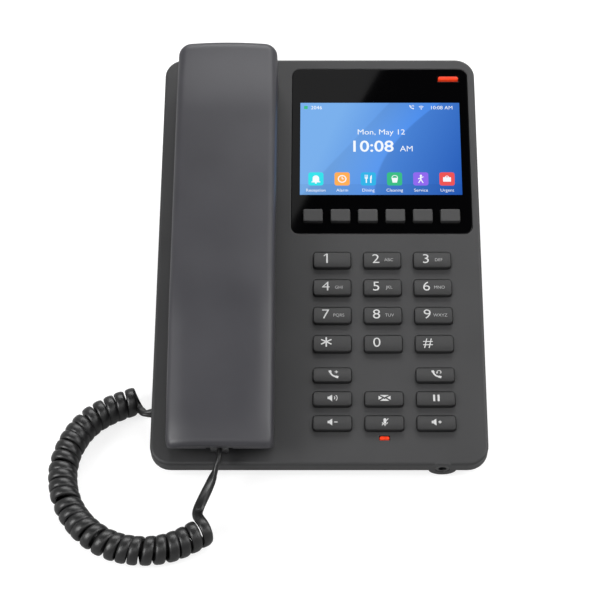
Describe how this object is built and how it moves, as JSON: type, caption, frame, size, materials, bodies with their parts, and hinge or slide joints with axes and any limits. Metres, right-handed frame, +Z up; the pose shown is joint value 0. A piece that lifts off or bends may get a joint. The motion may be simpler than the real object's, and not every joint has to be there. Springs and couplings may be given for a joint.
{
  "type": "desk telephone",
  "caption": "Sloping desk telephone with a colour display, number pad, function keys, bar handset in a cradle and a curly cord that lies on the desk.",
  "frame": {"origin": "middle of the phone's footprint on the desk, the cord left out", "axes": "+Z up, -Y towards the user, +X to the user's right"},
  "size_m": [0.1864, 0.2462, 0.0832],
  "materials": {
    "cover_plastic": "fine matt moulded texture",
    "housing_plastic": "matt moulded",
    "foot_rubber": "soft matt",
    "screw_steel": "zinc plated",
    "window_gloss": "polished black",
    "display_glass": "lit colour display",
    "frame_metal": "stamped",
    "lamp_red": "red light guide",
    "board_laminate": "solder mask",
    "switch_black": "moulded",
    "jack_plastic": "moulded",
    "handset_plastic": "fine satin moulded texture",
    "weight_steel": "plain",
    "plug_clear": "smoked clear",
    "cord_vinyl": "satin vinyl",
    "key_plastic": "satin"
  },
  "bodies": {
    "base": {"base_plug": "plug_clear", "board_shield": "frame_metal", "cord_base_lead": "cord_vinyl", "cord_coil": "cord_vinyl", "cord_handset_lead": "cord_vinyl", "desk_stand": "housing_plastic", "display_frame": "frame_metal", "display_panel": "display_glass", "display_window": "window_gloss", "front_cover": "cover_plastic", "handset_port": "jack_plastic", "handsfree_microphone": "switch_black", "headset_jack": "jack_plastic", "hook_switch": "switch_black", "housing_screws": "screw_steel", "key_dome_mat": "foot_rubber", "loudspeaker": "switch_black", "main_board": "board_laminate", "message_light": "lamp_red", "mute_light": "lamp_red", "network_jacks": "jack_plastic", "power_socket": "switch_black", "rear_housing": "housing_plastic", "rubber_feet": "foot_rubber", "wall_hang_tab": "housing_plastic"},
    "handset": {"handset_back_shell": "handset_plastic", "handset_face_shell": "handset_plastic", "handset_weight": "weight_steel", "handset_receiver": "switch_black", "handset_microphone": "switch_black", "handset_jack": "jack_plastic", "handset_screws": "screw_steel", "handset_plug": "plug_clear"},
    "hook_plunger": {"hook_plunger": "housing_plastic"},
    "key_1": {"key_1": "key_plastic"},
    "key_2": {"key_2": "key_plastic"},
    "key_3": {"key_3": "key_plastic"},
    "key_4": {"key_4": "key_plastic"},
    "key_5": {"key_5": "key_plastic"},
    "key_6": {"key_6": "key_plastic"},
    "key_7": {"key_7": "key_plastic"},
    "key_8": {"key_8": "key_plastic"},
    "key_9": {"key_9": "key_plastic"},
    "key_star": {"key_star": "key_plastic"},
    "key_0": {"key_0": "key_plastic"},
    "key_hash": {"key_hash": "key_plastic"},
    "key_call": {"key_call": "key_plastic"},
    "key_redial": {"key_redial": "key_plastic"},
    "key_speaker": {"key_speaker": "key_plastic"},
    "key_message": {"key_message": "key_plastic"},
    "key_hold": {"key_hold": "key_plastic"},
    "key_volume_down": {"key_volume_down": "key_plastic"},
    "key_mute": {"key_mute": "key_plastic"},
    "key_volume_up": {"key_volume_up": "key_plastic"},
    "soft_key_1": {"soft_key_1": "key_plastic"},
    "soft_key_2": {"soft_key_2": "key_plastic"},
    "soft_key_3": {"soft_key_3": "key_plastic"},
    "soft_key_4": {"soft_key_4": "key_plastic"},
    "soft_key_5": {"soft_key_5": "key_plastic"},
    "soft_key_6": {"soft_key_6": "key_plastic"}
  },
  "joints": [
    {"name": "handset_lift", "type": "slide", "parent": "base", "child": "handset", "axis": [0, -0.2419, 0.9703], "range_m": [0, 0.06]},
    {"name": "hook_plunger_slide", "type": "slide", "parent": "base", "child": "hook_plunger", "axis": [0, -0.2419, 0.9703], "range_m": [0, 0.003]},
    {"name": "key_1_press", "type": "slide", "parent": "base", "child": "key_1", "axis": [0, 0.2419, -0.9703], "range_m": [0, 0.001], "stiffness_N_per_m": 400, "springref_m": -0.0008},
    {"name": "key_2_press", "type": "slide", "parent": "base", "child": "key_2", "axis": [0, 0.2419, -0.9703], "range_m": [0, 0.001], "stiffness_N_per_m": 400, "springref_m": -0.0008},
    {"name": "key_3_press", "type": "slide", "parent": "base", "child": "key_3", "axis": [0, 0.2419, -0.9703], "range_m": [0, 0.001], "stiffness_N_per_m": 400, "springref_m": -0.0008},
    {"name": "key_4_press", "type": "slide", "parent": "base", "child": "key_4", "axis": [0, 0.2419, -0.9703], "range_m": [0, 0.001], "stiffness_N_per_m": 400, "springref_m": -0.0008},
    {"name": "key_5_press", "type": "slide", "parent": "base", "child": "key_5", "axis": [0, 0.2419, -0.9703], "range_m": [0, 0.001], "stiffness_N_per_m": 400, "springref_m": -0.0008},
    {"name": "key_6_press", "type": "slide", "parent": "base", "child": "key_6", "axis": [0, 0.2419, -0.9703], "range_m": [0, 0.001], "stiffness_N_per_m": 400, "springref_m": -0.0008},
    {"name": "key_7_press", "type": "slide", "parent": "base", "child": "key_7", "axis": [0, 0.2419, -0.9703], "range_m": [0, 0.001], "stiffness_N_per_m": 400, "springref_m": -0.0008},
    {"name": "key_8_press", "type": "slide", "parent": "base", "child": "key_8", "axis": [0, 0.2419, -0.9703], "range_m": [0, 0.001], "stiffness_N_per_m": 400, "springref_m": -0.0008},
    {"name": "key_9_press", "type": "slide", "parent": "base", "child": "key_9", "axis": [0, 0.2419, -0.9703], "range_m": [0, 0.001], "stiffness_N_per_m": 400, "springref_m": -0.0008},
    {"name": "key_star_press", "type": "slide", "parent": "base", "child": "key_star", "axis": [0, 0.2419, -0.9703], "range_m": [0, 0.001], "stiffness_N_per_m": 400, "springref_m": -0.0008},
    {"name": "key_0_press", "type": "slide", "parent": "base", "child": "key_0", "axis": [0, 0.2419, -0.9703], "range_m": [0, 0.001], "stiffness_N_per_m": 400, "springref_m": -0.0008},
    {"name": "key_hash_press", "type": "slide", "parent": "base", "child": "key_hash", "axis": [0, 0.2419, -0.9703], "range_m": [0, 0.001], "stiffness_N_per_m": 400, "springref_m": -0.0008},
    {"name": "key_call_press", "type": "slide", "parent": "base", "child": "key_call", "axis": [0, 0.2419, -0.9703], "range_m": [0, 0.001], "stiffness_N_per_m": 400, "springref_m": -0.0008},
    {"name": "key_redial_press", "type": "slide", "parent": "base", "child": "key_redial", "axis": [0, 0.2419, -0.9703], "range_m": [0, 0.001], "stiffness_N_per_m": 400, "springref_m": -0.0008},
    {"name": "key_speaker_press", "type": "slide", "parent": "base", "child": "key_speaker", "axis": [0, 0.2419, -0.9703], "range_m": [0, 0.001], "stiffness_N_per_m": 400, "springref_m": -0.0008},
    {"name": "key_message_press", "type": "slide", "parent": "base", "child": "key_message", "axis": [0, 0.2419, -0.9703], "range_m": [0, 0.001], "stiffness_N_per_m": 400, "springref_m": -0.0008},
    {"name": "key_hold_press", "type": "slide", "parent": "base", "child": "key_hold", "axis": [0, 0.2419, -0.9703], "range_m": [0, 0.001], "stiffness_N_per_m": 400, "springref_m": -0.0008},
    {"name": "key_volume_down_press", "type": "slide", "parent": "base", "child": "key_volume_down", "axis": [0, 0.2419, -0.9703], "range_m": [0, 0.001], "stiffness_N_per_m": 400, "springref_m": -0.0008},
    {"name": "key_mute_press", "type": "slide", "parent": "base", "child": "key_mute", "axis": [0, 0.2419, -0.9703], "range_m": [0, 0.001], "stiffness_N_per_m": 400, "springref_m": -0.0008},
    {"name": "key_volume_up_press", "type": "slide", "parent": "base", "child": "key_volume_up", "axis": [0, 0.2419, -0.9703], "range_m": [0, 0.001], "stiffness_N_per_m": 400, "springref_m": -0.0008},
    {"name": "soft_key_1_press", "type": "slide", "parent": "base", "child": "soft_key_1", "axis": [0, 0.2419, -0.9703], "range_m": [0, 0.0005], "stiffness_N_per_m": 400, "springref_m": -0.0008},
    {"name": "soft_key_2_press", "type": "slide", "parent": "base", "child": "soft_key_2", "axis": [0, 0.2419, -0.9703], "range_m": [0, 0.0005], "stiffness_N_per_m": 400, "springref_m": -0.0008},
    {"name": "soft_key_3_press", "type": "slide", "parent": "base", "child": "soft_key_3", "axis": [0, 0.2419, -0.9703], "range_m": [0, 0.0005], "stiffness_N_per_m": 400, "springref_m": -0.0008},
    {"name": "soft_key_4_press", "type": "slide", "parent": "base", "child": "soft_key_4", "axis": [0, 0.2419, -0.9703], "range_m": [0, 0.0005], "stiffness_N_per_m": 400, "springref_m": -0.0008},
    {"name": "soft_key_5_press", "type": "slide", "parent": "base", "child": "soft_key_5", "axis": [0, 0.2419, -0.9703], "range_m": [0, 0.0005], "stiffness_N_per_m": 400, "springref_m": -0.0008},
    {"name": "soft_key_6_press", "type": "slide", "parent": "base", "child": "soft_key_6", "axis": [0, 0.2419, -0.9703], "range_m": [0, 0.0005], "stiffness_N_per_m": 400, "springref_m": -0.0008}
  ],
  "couplings": [
    {"joint": "hook_plunger_slide", "follows": "handset_lift", "ratio": 0.05}
  ]
}
